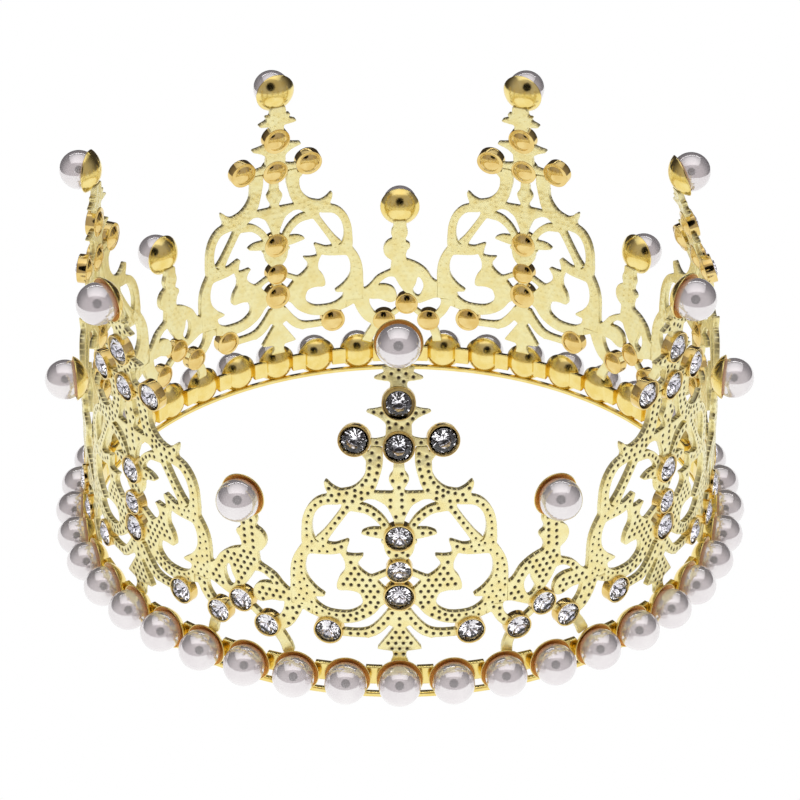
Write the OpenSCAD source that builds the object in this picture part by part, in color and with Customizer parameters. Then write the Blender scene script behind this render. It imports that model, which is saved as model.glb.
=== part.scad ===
// Openwork pageant crown: seven tall crests and seven short spires on a band of pearls.
// Each metal piece is one cast plate bent to the wall's cylinder, with round stone settings
// and shallow cups for half-drilled pearls. Origin: centre of the base, on the plane it rests on.
// Heights in the openwork drawings are counted from the lowest point of the band's pearls.

/* [Ring] */
// Number of crests, and of the spires between them
repeats = 7; // [7:1:7]
// Band pearls under one crest and one spire
pearls_per_repeat = 6; // [6:1:6]
// Radius of the circle through the pearls' centres
pearl_ring_r = 68; // [67.8:0.1:68.4]

/* [Wall] */
// Outer radius of the bent openwork wall
wall_r = 65; // [64.8:0.1:65.2]
// Thickness of the cast openwork
wall_t = 1.2; // [1:0.1:1.6]
// Radius of the casting's inner corners
fillet_r = 0.3; // [0.2:0.05:0.35]

/* [Pearls] */
// Diameter of every pearl
pearl_d = 8; // [7.6:0.1:8.2]
// Radius of a pearl cup at its rim
cup_r = 4.45; // [4.3:0.05:4.5]
// How far the cup's rim lies behind the pearl's centre
cup_rim_back = 2; // [1.8:0.1:2.4]
// Thickness of the cup's bowl at its middle
cup_t = 0.6; // [0.5:0.05:0.7]
// Diameter of the peg in a half-drilled pearl
peg_d = 0.9; // [0.7:0.1:1]
// Height of the crests' pearls
crest_pearl_z = 72.4; // [72:0.1:72.8]
// Height of the spires' pearls
spire_pearl_z = 40.5; // [40.2:0.1:40.8]

/* [Stones] */
// Diameter of the crests' stones
crest_stone_d = 4.6; // [4.4:0.1:4.8]
// Diameter of the spires' stones
spire_stone_d = 4.4; // [4.2:0.1:4.5]
// Height of a setting's rim in front of the wall
rim_h = 0.7; // [0.6:0.1:0.9]

/* [Band] */
// Height of the flat hoop under the cups
hoop_h = 0.9; // [0.7:0.1:1]
// Width of the flat hoop
hoop_w = 1.2; // [1:0.1:1.4]
// Height of the links between the cups
link_h = 3.8; // [3.4:0.1:4]

/* [Hidden] */
repeat_a = 360 / repeats;
pitch_a = repeat_a / pearls_per_repeat;
lift = cup_r - pearl_d / 2;
band_pearl_z = pearl_d / 2;
// A crest and a spire are joined at seam_a from the crest's middle, and at leg_a below seam_z
seam_a = 18.04;
leg_a = 14.5;
seam_z = 18.6;
spire_x = wall_r * (sin(seam_a) + sin(repeat_a / 2 - seam_a));
wall_h = 80;
// The crests are bent by hand across their legs: height of the bend and each lean inwards
lean_z = 49.4;
crest_lean = [15.5, -3.2, 18.5, 11.4, 9.9, 3.7, -5.8];
// Strokes that cross the bend, as place and width, and the bead that joins them over a gap
bent_strokes = [[-4.55, 3.1], [0, 2.3], [4.55, 3.1]];
bend_gap = 0.3;
bead_d = 1.5;
bend_r = wall_r - wall_t / 2;
curve_steps = 3;
round_fn = 48;
arc_steps = 5;
disc_back = wall_t + 0.12;
dome_r = 2.3;
dome_h = 0.8;
girdle_h = 0.4;
girdle_a = 0.1;
crown_slope = 0.16;
table_share = 0.58;
pavilion = 0.36;
culet_share = 0.16;
ring_names = ["band_segment", "crest", "spire", "crest_pearl", "spire_pearl", "band_pearls",
    "crest_stones", "spire_stones"];

gold = [0.93, 0.83, 0.48];
cup_gold = [0.86, 0.66, 0.25];
pearl_white = [0.87, 0.84, 0.87];
stone_clear = [0.8, 0.82, 0.86];

// Stones of a crest: place along the wall, height, radius of the setting
crest_settings = [
    [0, 61.3, 3.1], [0, 53.2, 2.95], [8, 54.4, 3], [-8, 54.4, 3], [0, 34.9, 2.85],
    [0, 27.7, 2.5], [0, 22.1, 3], [13.3, 13.8, 2.8], [-13.3, 13.8, 2.8]
];
// Stones of a spire, counted from the spire's own middle
spire_settings = [[-6.6, 12.9, 2.6], [-1.5, 17, 2.6], [3.8, 12.8, 2.6]];

// ---- Curves: every control point is [place, height, width] ----

function between(a, b, c, d, t) =
    0.5 * (2 * b + (c - a) * t + (2 * a - 5 * b + 4 * c - d) * t * t
        + (3 * b - a - 3 * c + d) * t * t * t);
function last(list) = list[len(list) - 1];
function smooth(p) = [
    for (i = [0 : len(p) - 2], j = [0 : curve_steps - 1])
        between(p[max(i - 1, 0)], p[i], p[i + 1], p[min(i + 2, len(p) - 1)], j / curve_steps),
    last(p)
];
function closed(p) = let (n = len(p)) [
    for (i = [0 : n - 1], j = [0 : curve_steps - 1])
        between(p[(i + n - 1) % n], p[i], p[(i + 1) % n], p[(i + 2) % n], j / curve_steps)
];
function flat(p) = [p[0], p[1]];
function sideways(q, i) = let (
    d = flat(q[min(i + 1, len(q) - 1)]) - flat(q[max(i - 1, 0)])
) [-d[1], d[0]] / norm(d);
function bank(q, side) = [
    for (i = [0 : len(q) - 1]) flat(q[i]) + side * q[i][2] / 2 * sideways(q, i)
];
function reversed(list) = [for (i = [len(list) - 1 : -1 : 0]) list[i]];

// A strip of changing width along a smooth line
module strip(points) {
    line = smooth(points);
    polygon(concat(bank(line, 1), reversed(bank(line, -1))));
}

// A filled shape with a smooth outline
module blob(points) polygon(closed(points));

module disc(x, z, r) translate([x, z]) circle(r = r, $fn = 18);

module both_sides() {
    children();
    mirror([1, 0]) children();
}

// ---- The crest's openwork, drawn flat ----

module crest_crown_part() {
    // neck behind the pearl, collar with two tips, wings under the top stone
    strip([[0, 70, 3.4], [0, 66.8, 4], [0, 64.7, 3], [0, 62, 4.2], [0, 57, 4.6], [0, 53, 5]]);
    both_sides() {
        strip([[0.8, 66.6, 2.8], [2.6, 66.1, 1.5], [4.5, 65.9, 0.4]]);
        strip([[1.4, 66.8, 1.6], [2.9, 67.9, 0.5]]);
        strip([[1.2, 59.2, 5], [3.4, 59.5, 1.9], [5.9, 59.8, 0.4]]);
        strip([[2.1, 54.2, 1.8], [4.6, 54.0, 1.2], [6.2, 54.3, 1.6]]);
    }
}

module crest_legs() {
    both_sides() {
        strip([[4.1, 53.2, 2.2], [4.4, 50.4, 3.0], [4.8, 47.8, 2.7], [5.8, 45.4, 3.1],
            [7.8, 43.4, 3.4], [10.6, 42.8, 2.8], [13, 42.4, 2.2]]);
        strip([[11.2, 43.4, 1.8], [12.6, 44.3, 1.5], [13.5, 46.0, 0.4]]);
        polygon([[5, 51], [5.9, 50.6], [7, 52], [6, 53.2]]);
    }
    // crossbar, pointed drop under it and the pendant above it
    polygon([[-6, 44.2], [6, 44.2], [6, 42.8], [-6, 42.8]]);
    strip([[0, 43.2, 10.4], [0, 42.5, 7.8], [0, 41.6, 5], [0, 40.2, 3.4], [0, 38.4, 2],
        [0, 36.6, 1.6]]);
    polygon([[-0.9, 51], [0.9, 51], [1.1, 48.2], [-1.1, 48.2]]);
    strip([[0, 48.7, 1.6], [0, 47.3, 3.7], [0, 46, 3], [0, 44.9, 1.8], [0, 43.9, 2.4]]);
}

module crest_upper_loop() {
    both_sides() {
        strip([[11, 42.2, 2], [14.1, 41.6, 1.8], [15.9, 39.8, 1.8], [16.8, 37.4, 1.8],
            [17, 34.9, 1.9], [16.7, 32.6, 2.6], [15.9, 31.4, 3]]);
        strip([[9.2, 41.2, 1.6], [11.2, 38, 1.5], [13.4, 34.6, 1.7], [14.6, 32.8, 2.4]]);
        strip([[10.4, 41.4, 2.2], [8, 40.9, 1.9], [5.8, 40.4, 1.7], [4, 39.1, 1.6],
            [2.8, 37.6, 1.5], [2.1, 36.2, 1.5]]);
        strip([[1, 35.2, 2.4], [4.9, 35.6, 1.8], [7, 35.4, 0.4]]);
        strip([[9.3, 33.6, 0.5], [10.4, 32.4, 1.7], [12.2, 31.5, 2.2], [16.8, 31.5, 3]]);
        polygon([[9.6, 32], [11.2, 32], [10.5, 30], [9.9, 30]]);
    }
}

module crest_middle() {
    // cup body under the middle stone, links between the stones
    strip([[0, 34.9, 5.4], [0, 32.6, 5.6], [0, 31, 4.6], [0, 29.9, 2.8]]);
    strip([[0, 30, 2.6], [0, 24, 2]]);
    both_sides() {
        disc(2.9, 33.8, 0.5);
        strip([[1.4, 27.3, 1.4], [3.4, 26.4, 1.0], [5.6, 25, 1.6]]);
        inner_leaf();
    }
}

module inner_leaf() {
    difference() {
        blob([[3.6, 24.6], [4.9, 25.7], [6.9, 27.2], [7.7, 28.5], [7.2, 29.7], [6.5, 30.7],
            [8.2, 30.5], [10.3, 30.4], [10, 28.7], [10.1, 27.1], [11.1, 25.6], [11.6, 23.8],
            [11.3, 22.7], [9.2, 22.8], [7.4, 22.3], [6.7, 20.8], [5, 19.8], [2.6, 20.2],
            [2, 22.4]]);
        disc(2.35, 24.7, 1.05);
    }
}

module crest_lower_loop() {
    both_sides() {
        strip([[3.4, 22.6, 3], [4.8, 20.8, 3.6], [6, 18.6, 2.8], [8.5, 17, 2.4],
            [11.4, 16.6, 2.4], [14.2, 17.1, 2.3], [16.8, 18.6, 3], [18.4, 20.6, 4]]);
        strip([[16.2, 32.4, 2.2], [17.9, 29.9, 2.2], [18.7, 27.6, 2.5], [18.8, 25.2, 2.9],
            [18.4, 22.9, 3.8], [18, 19, 5]]);
        strip([[17.6, 22.2, 4.2], [15.8, 21.6, 2], [13.8, 21.1, 0.4]]);
        strip([[1.1, 18.6, 2], [2.3, 16.8, 2], [3.7, 15, 2.1], [5.4, 13.7, 1.9],
            [7.8, 13.3, 1.5], [11.4, 13.3, 1.5]]);
        polygon([[4.6, 13.6], [5.9, 12.3], [6.6, 13.2]]);
    }
}

module crest_finial() {
    strip([[0, 21, 3], [0, 18.4, 3], [0, 16.2, 4.4], [0, 15, 2.4]]);
    polygon([[-0.9, 15], [-4.3, 10.1], [-1.3, 9.7], [-1.2, 8.4], [-1.8, 6.6], [1.8, 6.6],
        [1.2, 8.4], [1.3, 9.7], [4.3, 10.1], [0.9, 15]]);
}

module crest_drawing() {
    crest_crown_part();
    crest_legs();
    crest_upper_loop();
    crest_middle();
    crest_lower_loop();
    crest_finial();
}

// ---- The spire's openwork: the same hand on all of them ----

module spire_stem() {
    strip([[0, 38, 3], [0, 35.6, 3], [0.2, 33, 3], [0.3, 29, 3.2], [0, 26.4, 4.4]]);
    disc(0.1, 35, 1.95);
    disc(1.1, 30.8, 2.75);
    disc(-1.4, 31.7, 1);
}

module spire_arms() {
    // the thick comma on one side, the central leaf, the thin arc and its lobe on the other
    difference() {
        blob([[-0.5, 28.2], [-3.4, 27.6], [-6, 25.8], [-7.6, 23.4], [-9.6, 22.3], [-12, 21.6],
            [-12, 19.2], [-8.6, 18.9], [-6.2, 17.9], [-4, 17.2], [-2.6, 19.4], [-1.2, 19.9],
            [0.2, 21.8], [1.3, 24], [2.1, 26.2]]);
        blob([[-4.2, 24], [-5.3, 22.6], [-5.3, 20.8], [-4.2, 18.9], [-2.9, 20.4], [-3.6, 22]]);
    }
    strip([[0.6, 25, 2.6], [2.8, 24.6, 1.4], [4.9, 23.4, 1.5], [6.3, 21.6, 1.7],
        [7.8, 20, 2.4], [10.4, 19.4, 3]]);
    blob([[0.8, 19.2], [1.6, 21.1], [3.6, 21.9], [5.6, 21.6], [7.8, 20], [7, 18.5],
        [4.8, 18.3], [2.6, 17.4], [1.1, 17.8]]);
}

module spire_legs() {
    strip([[-10.4, 20.6, 3.6], [-10.8, 18.4, 2.6], [-10.2, 16.2, 2.1], [-9.1, 14.6, 2],
        [-7.6, 13.4, 2]]);
    strip([[9.2, 20, 4], [9, 18, 3.6], [8.4, 16, 3.2], [7.2, 14.1, 3], [5.4, 12.8, 2.6]]);
    strip([[-7.2, 12, 2], [-8.3, 9.4, 1.9], [-8.7, 6.4, 2.2]]);
    strip([[5.2, 12, 2.2], [7, 9.4, 2.1], [8.1, 6.4, 2.4]]);
    strip([[-1.5, 17, 1.2], [3.8, 12.8, 1.2]]);
    strip([[-1.5, 17, 1.2], [-6.6, 12.9, 1.2]]);
}

module spire_drawing() {
    spire_stem();
    spire_arms();
    spire_legs();
}

// Rounds the corners of the drawings joined, as a casting's are
module rounded() offset(delta = -fillet_r) offset(delta = fillet_r) children();

module beside() {
    for (side = [-1, 1])
        translate([side * spire_x, 0]) children();
}

// The joined drawings within distance x of their middle, between two heights
module crest_openwork(x, z0, z1) {
    intersection() {
        rounded() {
            crest_drawing();
            beside() spire_drawing();
        }
        translate([-x, z0]) square([2 * x, z1 - z0]);
    }
}

module spire_openwork(x) {
    intersection() {
        rounded() {
            spire_drawing();
            beside() crest_lower_loop();
        }
        translate([-x, 0]) square([2 * x, wall_h]);
    }
}

// ---- Solids ----

// Places its children on the wall at distance x round it from angle a, facing outwards along +Z
module on_wall(a, x, z, r) {
    rotate([0, 0, a + x * 180 / (PI * wall_r)])
        translate([0, -r, z + lift])
            rotate([90, 0, 0]) children();
}

// A length of the wall's tube from one angle to another and from one height to another
module wall_sector(a0, a1, z0, z1, extra = 0) {
    rotate([0, 0, a0 - 90])
        rotate_extrude(angle = a1 - a0, $fn = 96)
            translate([wall_r - wall_t - extra, z0 + lift])
                square([wall_t + 2 * extra, z1 - z0]);
}

// Bends a flat drawing round the wall by cutting it out of the tube up to angle a on both sides
module bent_plate(a, z0, z1) {
    intersection() {
        translate([0, -wall_r / 2, lift])
            rotate([90, 0, 0])
                linear_extrude(height = wall_r / 2 + 2) children();
        wall_sector(-a, a, z0, z1);
    }
}

// Room beyond the jog in the seams: on both sides from angle a outwards
module beyond_seam(a, z0, z1) {
    jog = seam_a - leg_a + 1;
    for (start = [a, -a - jog])
        wall_sector(start, start + jog, z0, z1, 1);
}

// Leans its children about the bend across a crest's legs
module leaned(k) {
    translate([0, -bend_r, lean_z + lift])
        rotate([-crest_lean[k - 1], 0, 0])
            translate([0, bend_r, -lean_z - lift]) children();
}

// Places its children at a stone of crest k, on the leaned part or below it
module at_crest(k, x, z, r) {
    if (z > lean_z) leaned(k) on_wall(0, x, z, r) children();
    else on_wall(0, x, z, r) children();
}

function bulge(r, h) = (r * r + h * h) / (2 * h);
// A bowl's arc from its rim, at height rim, down to the middle of its back
function bowl_arc(r, rim, h) = let (big = bulge(r, h), span = asin(r / big)) [
    for (i = [0 : arc_steps]) let (a = span * (1 - i / arc_steps))
        [big * sin(a), rim - h + big * (1 - cos(a))]
];
cup_depth = pearl_d / 2 - cup_rim_back;

module cup_back() {
    rotate_extrude($fn = round_fn)
        polygon(concat([[0, -cup_rim_back]], bowl_arc(cup_r, -cup_rim_back, cup_depth + cup_t)));
}

// Shallow cup behind a pearl, with the peg that the pearl is glued on
module pearl_cup() {
    difference() {
        cup_back();
        rotate_extrude($fn = round_fn)
            polygon(concat([[0, 1 - cup_rim_back], [cup_r - 0.2, 1 - cup_rim_back]],
                bowl_arc(cup_r - 0.2, -cup_rim_back, cup_depth)));
    }
    translate([0, 0, -pearl_d / 2 - cup_t / 2])
        cylinder(d = peg_d, h = cup_t / 2 + 2.2, $fn = 24);
}

module pearl() {
    difference() {
        sphere(d = pearl_d, $fn = 64);
        translate([0, 0, -pearl_d / 2 - 1]) cylinder(d = peg_d, h = 3.2, $fn = 24);
    }
}

// Solid outside of a stone's setting: a disc in the casting, with a dome behind the stone's point
module setting_body(r) {
    rotate_extrude($fn = round_fn)
        polygon(concat([[0, rim_h], [r - 0.25, rim_h], [r, rim_h - 0.25], [r, -disc_back]],
            bowl_arc(dome_r, -disc_back, dome_h)));
}

// Room for a stone: round at the girdle and conical behind it
module stone_room(d) {
    translate([0, 0, girdle_a]) cylinder(d = d, h = rim_h, $fn = round_fn);
    stone_back(d);
}

module stone_back(d) {
    translate([0, 0, girdle_a - d * pavilion])
        cylinder(d1 = d * culet_share, d2 = d, h = d * pavilion, $fn = round_fn);
}

module stone(d) {
    stone_back(d);
    translate([0, 0, girdle_a]) cylinder(d = d, h = girdle_h, $fn = round_fn);
    translate([0, 0, girdle_a + girdle_h])
        cylinder(d1 = d, d2 = d * table_share, h = d * crown_slope, $fn = round_fn);
}

// ---- Sub-parts ----

module crest_wall(k) {
    reach = wall_r * sin(seam_a) + 1;
    below = lean_z - bend_gap / 2;
    above = lean_z + bend_gap / 2;
    difference() {
        bent_plate(seam_a, 0, below) crest_openwork(reach, 0, below);
        beyond_seam(leg_a, -1, seam_z);
    }
    leaned(k)
        bent_plate(seam_a, above, wall_h) crest_openwork(reach, above, wall_h);
    for (stroke = bent_strokes)
        on_wall(0, stroke[0], lean_z, bend_r)
            rotate([0, 90, 0]) cylinder(d = bead_d, h = stroke[1], center = true, $fn = 24);
}

module crest(k) {
    rotate([0, 0, (k - 1) * repeat_a]) {
        color(gold) difference() {
            union() {
                crest_wall(k);
                for (s = crest_settings)
                    at_crest(k, s[0], s[1], wall_r) setting_body(s[2]);
            }
            for (s = crest_settings)
                at_crest(k, s[0], s[1], wall_r) stone_room(crest_stone_d);
            at_crest(k, 0, band_pearl_z, pearl_ring_r) cup_back();
            at_crest(k, 0, crest_pearl_z, pearl_ring_r) cup_back();
        }
        color(cup_gold) at_crest(k, 0, crest_pearl_z, pearl_ring_r) pearl_cup();
    }
}

module spire(k) {
    a = (k - 0.5) * repeat_a;
    reach = wall_r * sin(repeat_a / 2 - leg_a) + 1;
    color(gold) difference() {
        union() {
            rotate([0, 0, a]) difference() {
                bent_plate(repeat_a / 2 - leg_a, 0, spire_pearl_z) spire_openwork(reach);
                beyond_seam(repeat_a / 2 - seam_a, seam_z, spire_pearl_z + 1);
            }
            for (s = spire_settings)
                on_wall(a, s[0], s[1], wall_r) setting_body(s[2]);
        }
        for (s = spire_settings)
            on_wall(a, s[0], s[1], wall_r) stone_room(spire_stone_d);
        for (side = [-1, 1])
            on_wall(a + side * pitch_a, 0, band_pearl_z, pearl_ring_r) cup_back();
        on_wall(a, 0, spire_pearl_z, pearl_ring_r) cup_back();
    }
    color(cup_gold) on_wall(a, 0, spire_pearl_z, pearl_ring_r) pearl_cup();
}

// Places its children at the six cups of one band segment
module along_segment(k) {
    for (i = [-2 : pearls_per_repeat - 3])
        on_wall((k - 1) * repeat_a + i * pitch_a, 0, band_pearl_z, pearl_ring_r) children();
}

module hoop_ring() {
    rotate_extrude($fn = 96)
        translate([wall_r - hoop_w / 2, 0]) square([hoop_w, hoop_h]);
}

module band_segment(k) {
    color(cup_gold) difference() {
        union() {
            along_segment(k) pearl_cup();
            difference() {
                rotate([0, 0, (k - 1) * repeat_a - 90 - 2.5 * pitch_a])
                    rotate_extrude(angle = repeat_a, $fn = 96)
                        translate([wall_r - wall_t, band_pearl_z + lift - link_h / 2])
                            square([wall_t, link_h]);
                along_segment(k) cup_back();
            }
        }
        hoop_ring();
    }
}

module base_hoop() color(gold) hoop_ring();

module crest_pearl(k)
    color(pearl_white)
        rotate([0, 0, (k - 1) * repeat_a]) at_crest(k, 0, crest_pearl_z, pearl_ring_r) pearl();

module spire_pearl(k)
    color(pearl_white) on_wall((k - 0.5) * repeat_a, 0, spire_pearl_z, pearl_ring_r) pearl();

module band_pearls(k) color(pearl_white) along_segment(k) pearl();

module crest_stones(k)
    color(stone_clear)
        rotate([0, 0, (k - 1) * repeat_a])
            for (s = crest_settings)
                at_crest(k, s[0], s[1], wall_r) stone(crest_stone_d);

module spire_stones(k)
    color(stone_clear)
        for (s = spire_settings)
            on_wall((k - 0.5) * repeat_a, s[0], s[1], wall_r) stone(spire_stone_d);

for (k = [1 : repeats]) {
    band_segment(k);
    crest(k);
    spire(k);
    crest_pearl(k);
    spire_pearl(k);
    band_pearls(k);
    crest_stones(k);
    spire_stones(k);
}
base_hoop();
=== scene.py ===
import math
import random

import bmesh
import bpy
import numpy as np
from mathutils import Matrix, Vector, geometry, kdtree


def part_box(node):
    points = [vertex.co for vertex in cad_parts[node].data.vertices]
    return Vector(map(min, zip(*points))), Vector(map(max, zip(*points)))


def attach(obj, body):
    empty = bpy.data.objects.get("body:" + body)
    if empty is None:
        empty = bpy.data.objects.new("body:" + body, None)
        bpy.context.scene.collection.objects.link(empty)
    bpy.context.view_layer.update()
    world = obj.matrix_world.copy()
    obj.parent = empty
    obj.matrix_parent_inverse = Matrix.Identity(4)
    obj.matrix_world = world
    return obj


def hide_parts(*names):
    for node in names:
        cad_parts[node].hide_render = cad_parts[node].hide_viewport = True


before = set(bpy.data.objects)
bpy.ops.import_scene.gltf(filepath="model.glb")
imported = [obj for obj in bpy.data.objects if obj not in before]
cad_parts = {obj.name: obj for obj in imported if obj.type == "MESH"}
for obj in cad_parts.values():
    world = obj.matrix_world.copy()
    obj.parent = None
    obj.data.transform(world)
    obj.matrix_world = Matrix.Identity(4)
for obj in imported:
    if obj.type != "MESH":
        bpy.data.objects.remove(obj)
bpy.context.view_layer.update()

# Openwork pageant crown. Lengths are millimetres until a mesh is made, heights in the
# openwork drawings are counted from the lowest point of the band's pearls, and every piece
# is built for the front and turned round the crown's axis to its place.
MM = 0.001


def box_mm(node):
    lo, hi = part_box(node)
    return np.array(lo) / MM, np.array(hi) / MM


# ---- Driving dimensions, from the frame ----

REPEATS = sum(name.startswith("crest_pearl_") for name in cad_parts)
REPEAT_A = 2 * math.pi / REPEATS
PER_REPEAT = 6
PITCH_A = REPEAT_A / PER_REPEAT


def pearl_place(node):
    """Distance of a single pearl from the crown's axis, its height and its diameter."""
    lo, hi = box_mm(node)
    x, y, z = (lo + hi) / 2
    return math.hypot(x, y), z, hi[2] - lo[2]


ring_r, spire_top, pearl_d = (round(v, 1) for v in pearl_place("spire_pearl_1"))
pearl_r = pearl_d / 2
lift = round(box_mm("band_pearls_1")[0][2], 2)
spire_pearl_z = spire_top - lift
band_pearl_z = pearl_r
hoop_lo, hoop_hi = box_mm("base_hoop")
hoop_w = 1.2
hoop_h = round(hoop_hi[2] - hoop_lo[2], 1)
wall_r = round(hoop_hi[0] - hoop_w / 2, 1)
wall_t = 1.2
cup_r = pearl_r + lift
cup_rim_back = 2
cup_t = 0.6
link_h = 3.8
crest_stone_d = 4.6
spire_stone_d = 4.4
rim_h = 0.7
disc_back = wall_t + 0.12
dome_r = 2.3
dome_h = 0.8
girdle_z = 0.4

# Every crest is bent across its legs, about the middle of the wall's thickness
bend_r = wall_r - wall_t / 2
bend_z = 49.4 + lift
bend_length = 2.4


def lean_of(k):
    """How far crest k leans inwards, and the distance from the bend to its pearl's height."""
    r, z, _ = pearl_place(f"crest_pearl_{k}")
    height = math.sqrt((r - bend_r) ** 2 + (z - bend_z) ** 2 - (ring_r - bend_r) ** 2)
    return math.atan2(ring_r - bend_r, height) - math.atan2(r - bend_r, z - bend_z), height


LEANS = [lean_of(k)[0] for k in range(1, REPEATS + 1)]
crest_pearl_z = round(bend_z + lean_of(1)[1] - lift, 1)

# Where a crest and a spire are joined: angles from the crest's middle, above and below seam_z
seam_a = math.radians(18.04)
leg_a = math.radians(14.5)
seam_z = 18.6
seam_x = wall_r * math.sin(seam_a)
leg_x = wall_r * math.sin(leg_a)
spire_seam_x = wall_r * math.sin(REPEAT_A / 2 - seam_a)
spire_leg_x = wall_r * math.sin(REPEAT_A / 2 - leg_a)
spire_x = seam_x + spire_seam_x

# Stones: place along the wall, height, radius of the setting
CREST_SETTINGS = [
    (0, 61.3, 3.1), (0, 53.2, 2.95), (8, 54.4, 3), (-8, 54.4, 3), (0, 34.9, 2.85),
    (0, 27.7, 2.5), (0, 22.1, 3), (13.3, 13.8, 2.8), (-13.3, 13.8, 2.8),
]
SPIRE_SETTINGS = [(-6.6, 12.9, 2.6), (-1.5, 17, 2.6), (3.8, 12.8, 2.6)]

# ---- Curves: every control point is (place, height, width) ----

CURVE_STEPS = 7


def between(a, b, c, d, t):
    return 0.5 * (2 * b + (c - a) * t + (2 * a - 5 * b + 4 * c - d) * t * t
                  + (3 * b - a - 3 * c + d) * t * t * t)


def smooth(points, steps=CURVE_STEPS):
    p = np.array(points, float)
    n = len(p)
    made = [between(p[max(i - 1, 0)], p[i], p[i + 1], p[min(i + 2, n - 1)], j / steps)
            for i in range(n - 1) for j in range(steps)]
    return np.array(made + [p[-1]])


def closed(points, steps=CURVE_STEPS):
    p = np.array(points, float)
    n = len(p)
    return np.array([between(p[i - 1], p[i], p[(i + 1) % n], p[(i + 2) % n], j / steps)
                     for i in range(n) for j in range(steps)])


def sideways(line):
    d = np.gradient(line[:, :2], axis=0)
    d /= np.linalg.norm(d, axis=1)[:, None]
    return np.stack([-d[:, 1], d[:, 0]], 1)


class Drawing:
    """Flat shapes that overlap: outlines with their holes, and the lines that dots follow."""

    def __init__(self):
        self.shapes = []
        self.lines = []
        self.leaves = []

    def strip(self, points, dots=True):
        line = smooth(points)
        side = sideways(line) * line[:, 2:3] / 2
        self.shapes.append((np.concatenate([line[:, :2] + side, (line[:, :2] - side)[::-1]]), []))
        if dots:
            self.lines.append(line)

    def blob(self, points, holes=()):
        self.shapes.append((closed(points), list(holes)))
        self.leaves.append(len(self.shapes) - 1)

    def polygon(self, points, dots=False):
        self.shapes.append((np.array(points, float), []))
        if dots:
            self.leaves.append(len(self.shapes) - 1)

    def disc(self, x, z, r):
        self.shapes.append((circle(x, z, r), []))

    def place(self, other, dx=0.0, mirrored=False):
        """Adds another drawing, moved sideways or mirrored."""
        flip = np.array([-1.0 if mirrored else 1.0, 1.0])
        step = np.array([dx, 0.0])
        start = len(self.shapes)
        self.shapes += [(o * flip + step, [h * flip + step for h in holes])
                        for o, holes in other.shapes]
        self.lines += [np.concatenate([q[:, :2] * flip + step, q[:, 2:]], 1) for q in other.lines]
        self.leaves += [start + i for i in other.leaves]

    def both_sides(self, half):
        self.place(half)
        self.place(half, mirrored=True)


def circle(x, z, r, n=28):
    a = np.arange(n) * 2 * math.pi / n
    return np.stack([x + r * np.cos(a), z + r * np.sin(a)], 1)


def crest_crown_part(d):
    d.strip([(0, 70, 3.4), (0, 66.8, 4), (0, 64.7, 3), (0, 62, 4.2), (0, 57, 4.6), (0, 53, 5)])
    half = Drawing()
    half.strip([(0.8, 66.6, 2.8), (2.6, 66.1, 1.5), (4.5, 65.9, 0.4)])
    half.strip([(1.4, 66.8, 1.6), (2.9, 67.9, 0.5)], dots=False)
    half.strip([(1.2, 59.2, 5), (3.4, 59.5, 1.9), (5.9, 59.8, 0.4)])
    half.strip([(2.1, 54.2, 1.8), (4.6, 54.0, 1.2), (6.2, 54.3, 1.6)])
    d.both_sides(half)


def crest_legs(d):
    half = Drawing()
    half.strip([(4.1, 53.2, 2.2), (4.4, 50.4, 3.0), (4.8, 47.8, 2.7), (5.8, 45.4, 3.1),
                (7.8, 43.4, 3.4), (10.6, 42.8, 2.8), (13, 42.4, 2.2)])
    half.strip([(11.2, 43.4, 1.8), (12.6, 44.3, 1.5), (13.5, 46.0, 0.4)])
    half.polygon([(5, 51), (5.9, 50.6), (7, 52), (6, 53.2)])
    d.both_sides(half)
    # crossbar, pointed drop under it and the pendant above it
    d.polygon([(-6, 44.2), (6, 44.2), (6, 42.8), (-6, 42.8)])
    d.strip([(0, 43.2, 10.4), (0, 42.5, 7.8), (0, 41.6, 5), (0, 40.2, 3.4), (0, 38.4, 2),
             (0, 36.6, 1.6)])
    d.polygon([(-0.9, 51), (0.9, 51), (1.1, 48.2), (-1.1, 48.2)])
    d.strip([(0, 48.7, 1.6), (0, 47.3, 3.7), (0, 46, 3), (0, 44.9, 1.8), (0, 43.9, 2.4)])


def crest_upper_loop(d):
    half = Drawing()
    half.strip([(11, 42.2, 2), (14.1, 41.6, 1.8), (15.9, 39.8, 1.8), (16.8, 37.4, 1.8),
                (17, 34.9, 1.9), (16.7, 32.6, 2.6), (15.9, 31.4, 3)])
    half.strip([(9.2, 41.2, 1.6), (11.2, 38, 1.5), (13.4, 34.6, 1.7), (14.6, 32.8, 2.4)])
    half.strip([(10.4, 41.4, 2.2), (8, 40.9, 1.9), (5.8, 40.4, 1.7), (4, 39.1, 1.6),
                (2.8, 37.6, 1.5), (2.1, 36.2, 1.5)])
    half.strip([(1, 35.2, 2.4), (4.9, 35.6, 1.8), (7, 35.4, 0.4)])
    half.strip([(9.3, 33.6, 0.5), (10.4, 32.4, 1.7), (12.2, 31.5, 2.2), (16.8, 31.5, 3)])
    half.polygon([(9.6, 32), (11.2, 32), (10.5, 30), (9.9, 30)])
    d.both_sides(half)


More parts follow.
